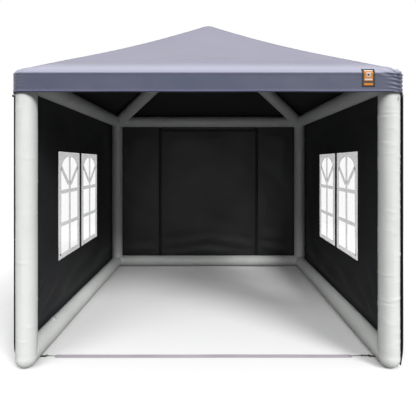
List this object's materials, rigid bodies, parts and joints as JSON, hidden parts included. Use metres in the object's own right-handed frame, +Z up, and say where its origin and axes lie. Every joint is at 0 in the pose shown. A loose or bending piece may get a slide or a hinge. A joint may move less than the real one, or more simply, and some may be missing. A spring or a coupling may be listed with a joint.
{
  "type": "inflatable gazebo tent",
  "caption": "Square air-tube gazebo with a pyramid canopy and valance, walls with windows on two sides, a zipped back door, an open front, a ground strap and an inflation valve.",
  "frame": {"origin": "on the ground, at the middle of the square plan", "axes": "+X to the right seen from the open front, +Y from the open front to the back, +Z up"},
  "size_m": [3.0246, 3.044, 3.1945],
  "materials": {
    "tube_sleeve": "satin",
    "bladder_film": "satin",
    "roof_cloth": "matte",
    "valance_cloth": "matte",
    "label_cloth": "matte",
    "toggle_plastic": "gloss",
    "elastic": "matte",
    "wall_cloth": "matte",
    "window_film": "gloss",
    "band_cloth": "matte",
    "zip_coil": "matte",
    "hook_tape": "matte",
    "zip_metal": "satin",
    "pull_metal": "satin",
    "valve_plastic": "matte",
    "cap_plastic": "matte",
    "pin_plastic": "gloss",
    "spring_steel": "satin",
    "strap_webbing": "matte",
    "tie_cord": "matte",
    "hook_metal": "satin",
    "ring_steel": "satin",
    "tab_webbing": "matte"
  },
  "bodies": {
    "frame": {"apex_hub": "tube_sleeve", "back_panel_left": "wall_cloth", "back_panel_right": "wall_cloth", "base_rail_back": "tube_sleeve", "base_rail_bladders": "bladder_film", "base_rail_left": "tube_sleeve", "base_rail_right": "tube_sleeve", "door_header": "wall_cloth", "door_zip_coils_wall": "zip_coil", "eave_rail_back": "tube_sleeve", "eave_rail_bladders": "bladder_film", "eave_rail_front": "tube_sleeve", "eave_rail_left": "tube_sleeve", "eave_rail_right": "tube_sleeve", "front_edge_zips": "zip_coil", "leg_back_left": "tube_sleeve", "leg_back_right": "tube_sleeve", "leg_bladders": "bladder_film", "leg_front_left": "tube_sleeve", "leg_front_right": "tube_sleeve", "rafter_back_left": "tube_sleeve", "rafter_back_right": "tube_sleeve", "rafter_bladders": "bladder_film", "rafter_front_left": "tube_sleeve", "rafter_front_right": "tube_sleeve", "strap_rings": "ring_steel", "strap_tabs": "tab_webbing", "valve_body": "valve_plastic", "valve_spring": "spring_steel", "wall_hook_tapes": "hook_tape", "wall_left": "wall_cloth", "wall_right": "wall_cloth", "window_band_left": "band_cloth", "window_band_right": "band_cloth", "window_pane_left_back": "window_film", "window_pane_left_front": "window_film", "window_pane_right_back": "window_film", "window_pane_right_front": "window_film"},
    "canopy": {"roof_panel_front": "roof_cloth", "roof_panel_back": "roof_cloth", "roof_panel_left": "roof_cloth", "roof_panel_right": "roof_cloth", "valance_front": "valance_cloth", "valance_back": "valance_cloth", "valance_left": "valance_cloth", "valance_right": "valance_cloth", "label_patch": "label_cloth", "toggle_balls": "toggle_plastic", "toggle_elastics": "elastic"},
    "back_door": {"back_door": "wall_cloth", "door_zip_coils_door": "zip_coil"},
    "zip_slider_left": {"zip_slider_left": "zip_metal"},
    "zip_slider_right": {"zip_slider_right": "zip_metal"},
    "zip_pull_left": {"zip_pull_left": "pull_metal"},
    "zip_pull_right": {"zip_pull_right": "pull_metal"},
    "strap": {"ground_strap": "strap_webbing", "strap_hook": "hook_metal", "strap_cords": "tie_cord"},
    "valve_cap": {"valve_cap": "cap_plastic"},
    "valve_pin": {"valve_pin": "pin_plastic"}
  },
  "joints": [
    {"name": "canopy_lift", "type": "slide", "parent": "frame", "child": "canopy", "axis": [0, 0, 1], "range_m": [0, 0.35]},
    {"name": "door_swing", "type": "hinge", "parent": "frame", "child": "back_door", "pos_m": [0, 1.5038, 2.1185], "axis": [1, 0, 0], "range_deg": [0, 95]},
    {"name": "zip_left_slide", "type": "slide", "parent": "back_door", "child": "zip_slider_left", "axis": [0, 0, 1], "range_m": [0, 1.95]},
    {"name": "zip_left_pull", "type": "hinge", "parent": "zip_slider_left", "child": "zip_pull_left", "pos_m": [-0.755, 1.5085, 0.065], "axis": [1, 0, 0], "range_deg": [0, 150]},
    {"name": "zip_right_slide", "type": "slide", "parent": "back_door", "child": "zip_slider_right", "axis": [0, 0, 1], "range_m": [0, 1.95]},
    {"name": "zip_right_pull", "type": "hinge", "parent": "zip_slider_right", "child": "zip_pull_right", "pos_m": [0.755, 1.5085, 0.065], "axis": [1, 0, 0], "range_deg": [0, 150]},
    {"name": "strap_swing", "type": "hinge", "parent": "frame", "child": "strap", "pos_m": [-1.322, -1.27, 0.0055], "axis": [0, -1, 0], "range_deg": [0, 50]},
    {"name": "valve_cap_hinge", "type": "hinge", "parent": "frame", "child": "valve_cap", "pos_m": [-1.4385, -0.92, 0.1743], "axis": [0, -1, 0], "range_deg": [0, 150]},
    {"name": "valve_pin_press", "type": "slide", "parent": "frame", "child": "valve_pin", "axis": [0, 0, 1], "range_m": [-0.0035, 0], "stiffness_N_per_m": 400, "springref_m": 0.002, "deforming": ["valve_spring"]}
  ]
}
